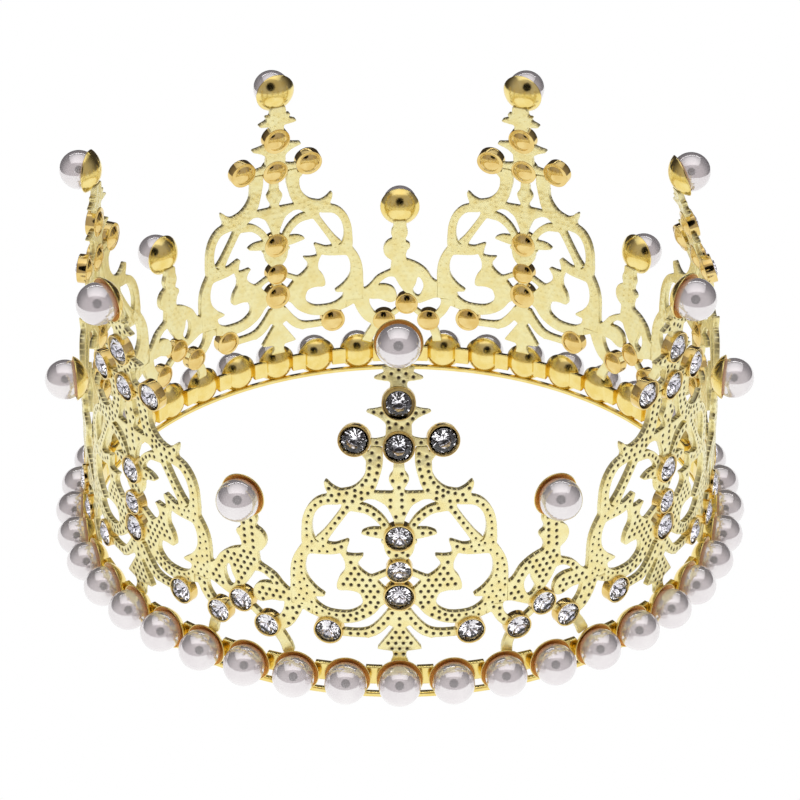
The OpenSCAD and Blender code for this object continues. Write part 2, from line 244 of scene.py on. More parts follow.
def crest_middle(d):
    d.strip([(0, 34.9, 5.4), (0, 32.6, 5.6), (0, 31, 4.6), (0, 29.9, 2.8)])
    d.strip([(0, 30, 2.6), (0, 24, 2)], dots=False)
    half = Drawing()
    half.disc(2.9, 33.8, 0.5)
    half.strip([(1.4, 27.3, 1.4), (3.4, 26.4, 1.0), (5.6, 25, 1.6)], dots=False)
    half.blob([(3.6, 24.6), (4.9, 25.7), (6.9, 27.2), (7.7, 28.5), (7.2, 29.7), (6.5, 30.7),
               (8.2, 30.5), (10.3, 30.4), (10, 28.7), (10.1, 27.1), (11.1, 25.6), (11.6, 23.8),
               (11.3, 22.7), (9.2, 22.8), (7.4, 22.3), (6.7, 20.8), (5, 19.8), (2.6, 20.2),
               (2, 22.4)], holes=[circle(2.35, 24.7, 1.05)])
    d.both_sides(half)


def crest_lower_loop(d):
    half = Drawing()
    half.strip([(3.4, 22.6, 3), (4.8, 20.8, 3.6), (6, 18.6, 2.8), (8.5, 17, 2.4),
                (11.4, 16.6, 2.4), (14.2, 17.1, 2.3), (16.8, 18.6, 3), (18.4, 20.6, 4)])
    half.strip([(16.2, 32.4, 2.2), (17.9, 29.9, 2.2), (18.7, 27.6, 2.5), (18.8, 25.2, 2.9),
                (18.4, 22.9, 3.8), (18, 19, 5)])
    half.strip([(17.6, 22.2, 4.2), (15.8, 21.6, 2), (13.8, 21.1, 0.4)])
    half.strip([(1.1, 18.6, 2), (2.3, 16.8, 2), (3.7, 15, 2.1), (5.4, 13.7, 1.9),
                (7.8, 13.3, 1.5), (11.4, 13.3, 1.5)])
    half.polygon([(4.6, 13.6), (5.9, 12.3), (6.6, 13.2)])
    d.both_sides(half)


def crest_finial(d):
    d.strip([(0, 21, 3), (0, 18.4, 3), (0, 16.2, 4.4), (0, 15, 2.4)])
    d.polygon([(-0.9, 15), (-4.3, 10.1), (-1.3, 9.7), (-1.2, 8.4), (-1.8, 7.1), (1.8, 7.1),
               (1.2, 8.4), (1.3, 9.7), (4.3, 10.1), (0.9, 15)], dots=True)


def crest_drawing():
    d = Drawing()
    for part in (crest_crown_part, crest_legs, crest_upper_loop, crest_middle,
                 crest_lower_loop, crest_finial):
        part(d)
    return d


def spire_drawing():
    d = Drawing()
    d.strip([(0, 38, 3), (0, 35.6, 3), (0.2, 33, 3), (0.3, 29, 3.2), (0, 26.4, 4.4)])
    d.disc(0.1, 35, 1.95)
    d.disc(1.1, 30.8, 2.75)
    d.disc(-1.4, 31.7, 1)
    d.blob([(-0.5, 28.2), (-3.4, 27.6), (-6, 25.8), (-7.6, 23.4), (-9.6, 22.3), (-12, 21.6),
            (-12, 19.2), (-8.6, 18.9), (-6.2, 17.9), (-4, 17.2), (-2.6, 19.4), (-1.2, 19.9),
            (0.2, 21.8), (1.3, 24), (2.1, 26.2)],
           holes=[closed([(-4.2, 24), (-5.3, 22.6), (-5.3, 20.8), (-4.2, 18.9), (-2.9, 20.4),
                          (-3.6, 22)])])
    d.strip([(0.6, 25, 2.6), (2.8, 24.6, 1.4), (4.9, 23.4, 1.5), (6.3, 21.6, 1.7),
             (7.8, 20, 2.4), (10.4, 19.4, 3)])
    d.blob([(0.8, 19.2), (1.6, 21.1), (3.6, 21.9), (5.6, 21.6), (7.8, 20), (7, 18.5),
            (4.8, 18.3), (2.6, 17.4), (1.1, 17.8)])
    d.strip([(-10.4, 20.6, 3.6), (-10.8, 18.4, 2.6), (-10.2, 16.2, 2.1), (-9.1, 14.6, 2),
             (-7.6, 13.4, 2)])
    d.strip([(9.2, 20, 4), (9, 18, 3.6), (8.4, 16, 3.2), (7.2, 14.1, 3), (5.4, 12.8, 2.6)])
    d.strip([(-7.2, 12, 2), (-8.3, 9.4, 1.9), (-8.6, 7.2, 2.3)], dots=False)
    d.strip([(5.2, 12, 2.2), (7, 9.4, 2.1), (7.9, 7.2, 2.5)], dots=False)
    d.strip([(-1.5, 17, 1.2), (3.8, 12.8, 1.2)], dots=False)
    d.strip([(-1.5, 17, 1.2), (-6.6, 12.9, 1.2)], dots=False)
    return d


# ---- Flat geometry ----

BATCH = 4_000_000


def winding_near(points, ring):
    """How many times the ring goes round each of a few points."""
    x0, y0 = ring[:, 0], ring[:, 1]
    x1, y1 = np.roll(x0, -1), np.roll(y0, -1)
    px, py = points[:, 0:1], points[:, 1:2]
    left = (x1 - x0) * (py - y0) - (px - x0) * (y1 - y0)
    up = (y0 <= py) & (y1 > py) & (left > 0)
    down = (y0 > py) & (y1 <= py) & (left < 0)
    return up.sum(1) - down.sum(1)


def winding(points, ring):
    """How many times the ring goes round each point, worked out batch by batch."""
    found = np.zeros(len(points), int)
    lo, hi = ring.min(0), ring.max(0)
    near = np.nonzero(((points >= lo) & (points <= hi)).all(1))[0]
    for part in np.array_split(near, max(1, len(near) * len(ring) // BATCH)):
        found[part] = winding_near(points[part], ring)
    return found


def within(points, ring):
    """True for the points inside the ring."""
    return winding(points, ring) != 0


def covered(points, shapes):
    found = np.zeros(len(points), bool)
    for outline, holes in shapes:
        inside = within(points, outline)
        for hole in holes:
            inside &= ~within(points, hole)
        found |= inside
    return found


def triangulate(points, edges):
    made = geometry.delaunay_2d_cdt([Vector(p) for p in points], edges, [], 0, 1e-6)
    return np.array([tuple(v) for v in made[0]]), np.array(made[2]), made[3]


def ring_edges(rings, first=0):
    made = []
    for ring in rings:
        n = len(ring)
        made += [(first + i, first + (i + 1) % n) for i in range(n)]
        first += n
    return made


def union_loops(shapes, rooms):
    """Outlines of what the shapes cover without the rooms, the covered side on the left."""
    rings = [r for outline, holes in shapes for r in [outline, *holes]] + rooms
    points, triangles, _ = triangulate(np.concatenate(rings), ring_edges(rings))
    middle = points[triangles].mean(1)
    kept = triangles[covered(middle, shapes) & ~covered(middle, [(room, []) for room in rooms])]
    directed = {(int(t[i]), int(t[(i + 1) % 3])) for t in kept for i in range(3)}
    after = {}
    for a, b in sorted(directed):
        if (b, a) not in directed:
            after.setdefault(a, []).append(b)
    loops = []
    while after:
        start = next(iter(after))
        loop, here = [], start
        while here in after:
            loop.append(here)
            there = after[here].pop()
            if not after[here]:
                del after[here]
            here = there
        loops.append(points[loop])
    return loops


def resampled(loop, step):
    ends = np.roll(loop, -1, 0)
    lengths = np.linalg.norm(ends - loop, axis=1)
    along = np.concatenate([[0], np.cumsum(lengths)])
    n = max(8, round(along[-1] / step))
    at = np.arange(n) * along[-1] / n
    wrapped = np.concatenate([loop, loop[:1]])
    return np.stack([np.interp(at, along, wrapped[:, i]) for i in (0, 1)], 1)


def softened(loop, rounds):
    for _ in range(rounds):
        loop = 0.5 * loop + 0.25 * (np.roll(loop, 1, 0) + np.roll(loop, -1, 0))
    return loop


LOOP_STEP = 0.24
FINE_STEP = 0.05
LOOP_ROUNDS = 3
TINY_LOOP = 0.12
INSET_SHARE = 0.93
TOP_SLOPE = 1.6
TOP_OFFSET = 0.2


def area(loop):
    x, z = loop[:, 0], loop[:, 1]
    return 0.5 * np.sum(x * np.roll(z, -1) - z * np.roll(x, -1))


def inwards(loop):
    """Directions from a loop's points to its covered side."""
    return sideways(np.concatenate([loop[-1:], loop, loop[:1]]))[1:-1]


class Edge:
    """The openwork's whole outline, with the distance and the direction to it."""

    def __init__(self, loops):
        self.loops = [softened(resampled(loop, LOOP_STEP), LOOP_ROUNDS)
                      for loop in loops if abs(area(loop)) > TINY_LOOP]
        rings = [resampled(loop, FINE_STEP) for loop in self.loops]
        fine = np.concatenate(rings)
        self.upward = -np.concatenate([inwards(ring) for ring in rings])[:, 1]
        self.tree = kdtree.KDTree(len(fine))
        for i, (x, z) in enumerate(fine):
            self.tree.insert((x, z, 0), i)
        self.tree.balance()

    def distances(self, points):
        return np.array([self.tree.find((x, z, 0))[2] for x, z in points])

    def inset(self, loop, amount):
        """Points at that distance inside the loop, without those too near another edge."""
        moved = loop + amount * inwards(loop)
        return moved[self.distances(moved) > INSET_SHARE * amount]

    # this mask sets where shade is painted along the top edges
    def tops(self, points):
        """1 for the points on an edge that faces up, 0 on one that faces sideways or down."""
        at = [self.tree.find((x, z, 0))[1] for x, z in points]
        return np.clip(TOP_SLOPE * self.upward[at] - TOP_OFFSET, 0, 1)


# ---- Dots punched in the castings' faces ----

DOT_R = 0.41
SMALL_DOT = 0.66
LARGE_DOT_Z = 38
LARGE_DOT_X = 13.5
DOT_DEPTH = 0.26
DOT_PITCH = 1.42
DOT_CLEAR = 1.0
DOT_FROM_EDGE = 0.5
DOT_FROM_SETTING = 0.42
DOT_FROM_SEAM = 0.5
DOT_FROM_PEARL = 4.4
ROW_PITCH = 1.05
ROW_MARGIN = 0.68
DOT_MARGIN = 0.7
LEAF_ROW = 0.86 * DOT_PITCH
DENT_DEPTH = 0.07


def dot_scale(x, z):
    """The punched dots are large on the upper crest and the middle, small on the side loops."""
    upper = np.clip((z - LARGE_DOT_Z) / 5, 0, 1)
    middle = np.clip((LARGE_DOT_X - abs(x)) / 3, 0, 1)
    return SMALL_DOT + (1 - SMALL_DOT) * max(upper, middle)


def dots_along(line):
    """Rows of dots along a stroke: one in a thin one, two staggered ones in a wide one."""
    step = np.linalg.norm(np.diff(line[:, :2], axis=0), axis=1)
    along = np.concatenate([[0], np.cumsum(step)])
    side = sideways(line)
    made = []
    for i, at in enumerate(np.arange(DOT_PITCH / 3, along[-1], DOT_PITCH / 2)):
        x, z, w = (np.interp(at, along, line[:, c]) for c in range(3))
        normal = np.array([np.interp(at, along, side[:, c]) for c in (0, 1)])
        rows = max(1, round((w - DOT_MARGIN) / ROW_PITCH))
        reach = w / 2 - ROW_MARGIN
        if rows == 1:
            offsets = [0.0] if i % 2 == 0 else []
        elif rows == 2:
            offsets = [reach if i % 2 == 0 else -reach]
        else:
            offsets = list(np.linspace(-reach, reach, rows)[i % 2::2])
        made += [np.array([x, z]) + o * normal for o in offsets]
    return made


def dots_across(outline, holes):
    """Dots in level rows over a leaf."""
    lo, hi = outline.min(0), outline.max(0)
    made = []
    for j, z in enumerate(np.arange(lo[1] + DOT_MARGIN, hi[1], LEAF_ROW)):
        shift = DOT_PITCH / 2 * (j % 2)
        half_n = int((hi[0] - lo[0]) / 2 / DOT_PITCH) + 1
        middle = (lo[0] + hi[0]) / 2
        made += [np.array([middle + shift + n * DOT_PITCH, z]) for n in range(-half_n, half_n + 1)]
    made = np.array(made)
    keep = within(made, outline)
    for hole in holes:
        keep &= ~within(made, hole)
    return list(made[keep])


def dots_of(drawing, edge, settings, cups):
    wanted = [p for i in drawing.leaves for p in dots_across(*drawing.shapes[i])]
    wanted += [p for line in drawing.lines for p in dots_along(line)]
    wanted = np.array(wanted)
    wanted = wanted[covered(wanted, drawing.shapes) & (edge.distances(wanted) > DOT_FROM_EDGE)]
    round_things = [(x, z, r + DOT_FROM_SETTING) for x, z, r in settings] + cups
    kept = []
    for p in wanted:
        if any(math.dist(p, (x, z)) < r for x, z, r in round_things):
            continue
        if all(math.dist(p, q) > DOT_CLEAR for q in kept):
            kept.append(p)
    return np.array(kept)


# ---- Bent plates ----

EDGE_R = 0.16
BACK_R = 0.16
EDGE_RINGS = (0.03, 0.09, 0.2)
DOT_RINGS = ((0.0, 1), (0.45, 6), (0.8, 9), (1.12, 10))
ON_EDGE = 0.02
PLATE_SHARP = 65
# strength of the painted shade on the outline's upward-facing top edges, on the front and on the
# back
TOP_PAINTED_SHADE = 1.0
BACK_TOP_PAINTED_SHADE = 0.3
# reach and fall-off of the painted shade in the punched dots, in dot radii
DOT_DARK_REACH = 1.1
DOT_DARK_SLOPE = 2.4
FOOT_Z = 9
FOOT_THIN = 0.6
FOOT_TAPER = 1.8
SEAM_TOP = 90
PAST_SEAM = 6


def rounding(s, r):
    """Depth of a rounded edge at distance s from it."""
    t = np.clip(r - s, 0, r)
    return r - np.sqrt(r * r - t * t)


def dot_depth(s, depth):
    """Depth of a dot at distance s from its middle, in dot radii."""
    return depth * max(0.0, 1 - s * s)


def thickness(z):
    """The feet get thinner where they lie on the band's cups."""
    return wall_t - FOOT_THIN * np.clip((FOOT_Z - z) / FOOT_TAPER, 0, 1)


def seam_side(points, half_x, half_leg_x):
    limit = np.where(points[:, 1] > seam_z, half_x, half_leg_x)
    return np.abs(points[:, 0]) < limit


def seam_lines(half_x, half_leg_x):
    """The seams as corner points and edges between them, on both sides."""
    points, edges = [], []
    for side in (-1, 1):
        n = len(points)
        points += [(side * half_leg_x, 0), (side * half_leg_x, seam_z), (side * half_x, seam_z),
                   (side * half_x, SEAM_TOP)]
        edges += [(n, n + 1), (n + 1, n + 2), (n + 2, n + 3)]
    return np.array(points, float), edges


def face_mesh(edge, insets, extra, half_x, half_leg_x):
    """Triangles of one face of a plate: its outline, points inside it, and cuts at the seams."""
    outline = np.concatenate(edge.loops)
    inner = [edge.inset(loop, amount) for amount in insets for loop in edge.loops]
    points = np.concatenate([outline, *[p for p in inner if len(p)], *extra])
    keep_near = np.abs(points[:, 0]) < half_x + PAST_SEAM
    keep_near[:len(outline)] = True
    seam_points, seam_edges = seam_lines(half_x, half_leg_x)
    points = points[keep_near]
    first = len(points)
    edges = ring_edges(edge.loops) + [(a + first, b + first) for a, b in seam_edges]
    points, triangles, _ = triangulate(np.concatenate([points, seam_points]), edges)
    middle = points[triangles].mean(1)
    kept = triangles[seam_side(middle, half_x, half_leg_x)]
    middle = points[kept].mean(1)
    inside = sum(winding(middle, loop) for loop in edge.loops) > 0
    return points, kept[inside]


def bent(points, depth):
    """Flat points on the wall's cylinder, the front at the crown's -Y."""
    a = np.arcsin(points[:, 0] / wall_r)
    r = wall_r - depth
    return np.stack([r * np.sin(a), -r * np.cos(a), points[:, 1] + lift], 1)


def border_edges(triangles):
    directed = {(int(t[i]), int(t[(i + 1) % 3])) for t in triangles for i in range(3)}
    return [(a, b) for a, b in sorted(directed) if (b, a) not in directed]


def plate(name, drawing, edge, dots, half_x, half_leg_x, material):
    """Bent casting with rounded edges and dotted front, as one closed mesh."""
    radii = [DOT_R * dot_scale(x, z) for x, z in dots]
    rings = [circle(x, z, share * r, n) if n > 1 else np.array([[x, z]])
             for (x, z), r in zip(dots, radii) for share, n in DOT_RINGS]
    front, front_tris = face_mesh(edge, EDGE_RINGS, rings, half_x, half_leg_x)
    used = np.unique(front_tris)
    depth = np.zeros(len(front))
    to_edge = np.zeros(len(front))
    to_edge[used] = edge.distances(front[used])
    on_edge = (to_edge < ON_EDGE) & np.isin(np.arange(len(front)), used)
    to_edge[on_edge] = 0
    depth[used] = rounding(to_edge[used], EDGE_R)
    dot_tree = kdtree.KDTree(len(dots))
    for i, (x, z) in enumerate(dots):
        dot_tree.insert((x, z, 0), i)
    dot_tree.balance()
    # painted_shade holds painted shade: the punched dots are darkened towards their middles, and
    # the top edges that face up are darkened too
    painted_shade, dent = np.zeros(len(front)), np.zeros(len(front))
    for i in used:
        _, dot, away = dot_tree.find((front[i][0], front[i][1], 0))
        s = away / radii[dot]
        depth[i] += dot_depth(s, DOT_DEPTH)
        dent[i] = dot_depth(s, DENT_DEPTH)
        painted_shade[i] = min(1.0, max(0.0, (DOT_DARK_REACH - s) * DOT_DARK_SLOPE))
    # painted shade along the top edges that face up: full on the front, weaker on the back
    rim = np.nonzero(on_edge)[0]
    tops = edge.tops(front[rim])
    painted_shade[rim] = np.maximum(painted_shade[rim], TOP_PAINTED_SHADE * tops)
    back_painted_shade = np.zeros(len(front))
    back_painted_shade[rim] = BACK_TOP_PAINTED_SHADE * tops
    front_co = bent(front, depth)
    back_co = bent(front, thickness(front[:, 1]) - rounding(to_edge, BACK_R) + dent)
    n = len(front)
    faces = [tuple(int(i) for i in t) for t in front_tris]
    faces += [(int(a) + n, int(c) + n, int(b) + n) for a, b, c in front_tris]
    faces += [(b, a, a + n, b + n) for a, b in border_edges(front_tris)]
    mesh = mesh_of(name, np.concatenate([front_co, back_co]), faces, material, PLATE_SHARP)
    # the 'dot' attribute carries this painted shade of the dots and top edges to the gold material
    mesh_attribute(mesh, "dot", np.concatenate([painted_shade, back_painted_shade]))
    return tidy(mesh)


# ---- Meshes ----

def mesh_of(name, points_mm, faces, material, sharp_deg=None):
    mesh = bpy.data.meshes.new(name)
    mesh.from_pydata((np.asarray(points_mm) * MM).tolist(), [], faces)
    mesh.materials.append(material)
    mesh.shade_smooth()
    if sharp_deg is not None:
        mesh.set_sharp_from_angle(angle=math.radians(sharp_deg))
    return mesh


def mesh_attribute(mesh, name, values):
    mesh.attributes.new(name, "FLOAT", "POINT").data.foreach_set(
        "value", np.asarray(values, np.float32))


def tidy(mesh):
    """Drops the points that no face uses."""
    b = bmesh.new()
    b.from_mesh(mesh)
    bmesh.ops.delete(b, geom=[v for v in b.verts if not v.link_faces], context="VERTS")
    b.to_mesh(mesh)
    b.free()
    return mesh


class Parts:
    """Points and faces of several shapes on the way to one mesh."""

    def __init__(self):
        self.points = []
        self.faces = []
        self.count = 0

    def add(self, points, faces):
        self.points.append(np.asarray(points, float))
        self.faces += [tuple(i + self.count for i in f) for f in faces]
        self.count += len(points)

    def mesh(self, name, material, sharp_deg=None):
        return mesh_of(name, np.concatenate(self.points), self.faces, material, sharp_deg)


def revolved(profile, n=48):
    """Points and faces of a profile of (radius, height) turned round its axis."""
    points, faces, rows = [], [], []
    for r, z in profile:
        if r < 1e-6:
            rows.append([len(points)])
            points.append((0, 0, z))
        else:
            rows.append([len(points) + i for i in range(n)])
            points += [(r * math.cos(2 * math.pi * i / n), r * math.sin(2 * math.pi * i / n), z)
                       for i in range(n)]
    for low, high in zip(rows, rows[1:]):
        for i in range(n):
            j = (i + 1) % n
            if len(low) == 1 and len(high) == 1:
                continue
            if len(low) == 1:
                faces.append((low[0], high[j], high[i]))
            elif len(high) == 1:
                faces.append((low[i], low[j], high[0]))
            else:
                faces.append((low[i], low[j], high[j], high[i]))
    return np.array(points, float), faces


def on_wall(points, angle, z, r):
    """Puts shapes built round +Z on the wall, facing outwards, at that angle from the front."""
    place = (Matrix.Rotation(angle, 4, "Z") @ Matrix.Translation((0, -r, z + lift))
             @ Matrix.Rotation(math.pi / 2, 4, "X"))
    m = np.array(place)
    return points @ m[:3, :3].T + m[:3, 3]


def arc_points(cx, cz, r, a0, a1, n):
    return [(cx + r * math.cos(a0 + (a1 - a0) * i / n), cz + r * math.sin(a0 + (a1 - a0) * i / n))
            for i in range(n + 1)]


def bulge(r, h):
    return (r * r + h * h) / (2 * h)


def bowl_arc(r, rim, h, n=14):
    """A bowl's arc from the middle of its back up to its rim."""
    big = bulge(r, h)
    span = math.asin(r / big)
    return [(big * math.sin(span * i / n), rim - h + big * (1 - math.cos(span * i / n)))
            for i in range(n + 1)]


# ---- Pieces ----

SEAT_R = 0.3
SEAT_DEPTH = 0.43
PAVILION = 0.4
# painted shade in the groove round each stone
GROOVE_PAINTED_SHADE = 0.62
SETTING_STEPS = 40
SETTING_SHARP = 40
LIP = 0.12


def setting_profile(r, stone_d):
    """From the middle of the domed back over the rim, and on to the seat under the stone."""
    inner = stone_d / 2
    dome = bowl_arc(dome_r, -disc_back, dome_h)
    outside = dome + arc_points(r - LIP, LIP - disc_back, LIP, -math.pi / 2, 0, 3)
    rim = [(r, rim_h - 0.5)]
    rim += arc_points(r - LIP, rim_h - LIP, LIP, 0, math.pi / 2, 4)
    seat = [(r - 0.26, rim_h - 0.02), (r - 0.34, rim_h - 0.18), (inner + 0.02, rim_h - 0.34),
            (inner, girdle_z - 0.08), (SEAT_R, girdle_z - SEAT_DEPTH * stone_d),
            (0, girdle_z - SEAT_DEPTH * stone_d)]
    return outside + rim, seat


def settings_mesh(name, settings, stone_d, material):
    parts, painted_shade = Parts(), []
    for x, z, r in settings:
        shell, seat = setting_profile(r, stone_d)
        points, faces = revolved(shell + seat, SETTING_STEPS)
        parts.add(on_wall(points, x / wall_r, z, wall_r), faces)
        # the groove round the stone gets painted shade, from the seat's second point to its middle
        tarnished = (len(seat) - 2) * SETTING_STEPS + 1
        painted_shade += [0.0] * (len(points) - tarnished) + [GROOVE_PAINTED_SHADE] * tarnished
    mesh = parts.mesh(name, material, SETTING_SHARP)
    # the 'dot' attribute carries the groove's painted shade to the setting gold
    mesh_attribute(mesh, "dot", painted_shade)
    return mesh


# Rings of a stone's corners: radius and height as shares, how many, and their shift
STONE_RINGS = ((0.58, 0.17, 8, 0.5), (0.8, 0.105, 8, 0.0), (1, 0.02, 16, 0.0), (1, 0.0, 16, 0.0))
STONE_PLAY = 0.04


def stone_points(d, turn):
    """Round brilliant of 8: table, star, kite and girdle facets, with a 16-sided pavilion."""
    points = []
    for wide, high, n, shift in STONE_RINGS:
        angles = [turn + 2 * math.pi * (i + shift) / n for i in range(n)]
        points += [(wide * d / 2 * math.cos(a), wide * d / 2 * math.sin(a), high * d)
                   for a in angles]
    points.append((0, 0, -PAVILION * d))
    faces = [tuple(range(8))]
    for i in range(8):
        j = (i + 1) % 8
        # star, kite halves and girdle facets of the crown
        faces.append((i, 8 + j, j))
        faces.append((i, 8 + i, 16 + (2 * i + 1) % 16, 8 + j))
        faces.append((8 + i, 16 + 2 * i, 16 + (2 * i + 1) % 16))
        faces.append((8 + i, 16 + (2 * i - 1) % 16, 16 + 2 * i))
    for i in range(16):
        j = (i + 1) % 16
        faces.append((16 + i, 32 + i, 32 + j, 16 + j))
    for i in range(8):
        a, b, c = 32 + 2 * i, 32 + (2 * i + 1) % 16, 32 + (2 * i + 2) % 16
        faces.append((a, 48, b))
        faces.append((b, 48, c))
    return np.array(points, float), faces


def stones_mesh(name, settings, stone_d, material):
    parts = Parts()
    chance = random.Random(7)
    for x, z, _ in settings:
        points, faces = stone_points(stone_d - STONE_PLAY, chance.uniform(0, math.pi / 4))
        points[:, 2] += girdle_z
        parts.add(on_wall(points, x / wall_r, z, wall_r), faces)
    mesh = parts.mesh(name, material)
    mesh.shade_flat()
    return mesh


CUP_STEPS = 64
BOWL_STEPS = 20
RIM_W = 0.2
SHARP = 50


def cup_profile():
    depth = pearl_r - cup_rim_back
    outside = bowl_arc(cup_r, -cup_rim_back, depth + cup_t, BOWL_STEPS)
    inside = bowl_arc(cup_r - RIM_W, -cup_rim_back, depth, BOWL_STEPS)[::-1]
    rim = arc_points(cup_r - RIM_W / 2, -cup_rim_back, RIM_W / 2, 0, math.pi, 6)[1:-1]
    return outside + rim + inside


def cup_shape():
    return revolved(cup_profile(), CUP_STEPS)


def bowl_rows():
    """1 for the points of a cup's hollow, and 0 for the others."""
    hollow = BOWL_STEPS * CUP_STEPS + 1
    return [0.0] * (len(cup_shape()[0]) - hollow) + [1.0] * hollow


def pearl_shape():
    """Bead with a drilled hole at its back, its mouth slightly sunk."""
    hole_r, hole_depth, sunk = 0.5, 2, 0.12
    start = -math.pi / 2 + math.asin(hole_r / pearl_r)
    body = arc_points(0, 0, pearl_r, start, math.pi / 2, 48)
    body[-1] = (0, pearl_r)
    mouth = [(0, hole_depth - pearl_r), (hole_r - 0.05, hole_depth - pearl_r),
             (hole_r - 0.05, sunk - pearl_r)]
    return revolved(mouth + body, 72)


def swept_arc(profile, a0, a1, n, close):
    """A closed (radius, height) profile swept round the crown's axis between two angles."""
    points, faces = [], []
    m = len(profile)
    count = n if close else n + 1
    for i in range(count):
        a = a0 + (a1 - a0) * i / n
        points += [(r * math.sin(a), -r * math.cos(a), z) for r, z in profile]
    for i in range(n):
        low, high = i * m, (i + 1) % count * m
        faces += [(low + k, high + k, high + (k + 1) % m, low + (k + 1) % m) for k in range(m)]
    if not close:
        faces += [tuple(range(m)), tuple(reversed(range(n * m, (n + 1) * m)))]
    return np.array(points, float), faces


def rounded_bar(r0, r1, z0, z1, c):
    """Rounded rectangle between two radii and two heights."""
    h = math.pi / 2
    return (arc_points(r1 - c, z1 - c, c, h, 0, 4) + arc_points(r1 - c, z0 + c, c, 0, -h, 4)
            + arc_points(r0 + c, z0 + c, c, -h, -2 * h, 4)
            + arc_points(r0 + c, z1 - c, c, 2 * h, h, 4))


LINK_FROM = 3.3
LINK_ROUND = 0.2
HOOP_ROUND = 0.22
HOOP_STEPS = 336


def band_mesh(name, material):
    """Six cups and the links between them."""
    parts, hollow = Parts(), []
    half_link = link_h / 2
    bar = rounded_bar(wall_r - wall_t, wall_r, band_pearl_z + lift - half_link,
                      band_pearl_z + lift + half_link, LINK_ROUND)
    reach = LINK_FROM / wall_r
    for i in range(-2, PER_REPEAT - 2):
        points, faces = cup_shape()
        parts.add(on_wall(points, i * PITCH_A, band_pearl_z, ring_r), faces)
        hollow += bowl_rows()
        points, faces = swept_arc(bar, (i - 1) * PITCH_A + reach, i * PITCH_A - reach, 6, False)
        parts.add(points, faces)
        hollow += [0.0] * len(points)
    mesh = parts.mesh(name, material, SHARP)
    mesh_attribute(mesh, "bowl", hollow)
    return mesh


def cup_mesh(name, z, material):
    mesh = single(name, cup_shape(), z, material)
    mesh_attribute(mesh, "bowl", bowl_rows())
    return mesh


def hoop_mesh(name, material):
    bar = rounded_bar(wall_r - hoop_w / 2, wall_r + hoop_w / 2, 0, hoop_h, HOOP_ROUND)
    points, faces = swept_arc(bar, 0, 2 * math.pi, HOOP_STEPS, True)
    return mesh_of(name, points, faces, material)


def single(name, shape, z, material):
    points, faces = shape
    return mesh_of(name, on_wall(points, 0, z, ring_r), faces, material, SHARP)


def pearls_mesh(name, material):
    parts = Parts()
    for i in range(-2, PER_REPEAT - 2):
        points, faces = pearl_shape()
        parts.add(on_wall(points, i * PITCH_A, band_pearl_z, ring_r), faces)
    return parts.mesh(name, material, SHARP)


# ---- Materials ----

class Nodes:
    def __init__(self, name):
        self.material = bpy.data.materials.new(name)
        self.material.use_nodes = True
        self.tree = self.material.node_tree
        self.shader = self.tree.nodes["Principled BSDF"]

    def add(self, kind, **settings):
        made = self.tree.nodes.new(kind)
        for key, value in settings.items():
            setattr(made, key, value)
        return made

    def link(self, a, b):
        self.tree.links.new(a, b)

    def set(self, **values):
        for key, value in values.items():
            self.shader.inputs[key.replace("_", " ")].default_value = value

    def noise(self, scale, detail=3.0):
        made = self.add("ShaderNodeTexNoise")
        place = self.add("ShaderNodeTexCoord")
        made.inputs["Scale"].default_value = scale
        made.inputs["Detail"].default_value = detail
        self.link(place.outputs["Object"], made.inputs["Vector"])
        return made.outputs["Fac"]

    def ramp(self, value, stops):
        made = self.add("ShaderNodeValToRGB")
        made.color_ramp.elements[0].position, made.color_ramp.elements[0].color = stops[0]
        made.color_ramp.elements[1].position, made.color_ramp.elements[1].color = stops[-1]
        for at, colour in stops[1:-1]:
            made.color_ramp.elements.new(at).color = colour
        self.link(value, made.inputs["Fac"])
        return made.outputs["Color"]

    def mix(self, share, a, b):
        made = self.add("ShaderNodeMix", data_type="RGBA")
        for value, socket in ((share, 0), (a, 6), (b, 7)):
            if isinstance(value, bpy.types.NodeSocket):
                self.link(value, made.inputs[socket])
            else:
                made.inputs[socket].default_value = value
        return made.outputs[2]

    def bump(self, height, distance, strength):
        made = self.add("ShaderNodeBump")
        made.inputs["Strength"].default_value = strength
        made.inputs["Distance"].default_value = distance
        self.link(height, made.inputs["Height"])
        self.link(made.outputs["Normal"], self.shader.inputs["Normal"])

    def scaled(self, value, low, high):
        made = self.add("ShaderNodeMapRange")
        made.inputs["To Min"].default_value = low
        made.inputs["To Max"].default_value = high
        self.link(value, made.inputs["Value"])
        return made.outputs["Result"]


def gold_material(name, face, deep, rough, shine, dotted=False, inside=False):
    """Plated gold, slightly uneven: painted shade in the dots, on the upward top edges and in the
    setting grooves, a matt orange inside the cups.
    """
    n = Nodes(name)
    n.set(Metallic=shine)
    patches = n.noise(420, 4)
    colour = n.ramp(patches, [(0.35, (*deep, 1)), (0.62, (*face, 1))])
    if dotted:
        # painted shade: the 'dot' attribute mixes the colour towards near-black in the dots, on
        # upward top edges and in the setting grooves
        dot = n.add("ShaderNodeAttribute", attribute_name="dot")
        colour = n.mix(dot.outputs["Fac"], colour, (0.03, 0.014, 0.004, 1))
    if inside:
        bowl = n.add("ShaderNodeAttribute", attribute_name="bowl")
        colour = n.mix(bowl.outputs["Fac"], colour, (1, 0.54, 0.13, 1))
        n.link(n.scaled(bowl.outputs["Fac"], 1.0, 0.15), n.shader.inputs["Metallic"])
    n.link(colour, n.shader.inputs["Base Color"])
    n.link(n.scaled(n.noise(900, 2), rough * 0.75, rough * 1.35), n.shader.inputs["Roughness"])
    n.bump(n.noise(1500, 3), 0.00004, 0.25)
    return n.material


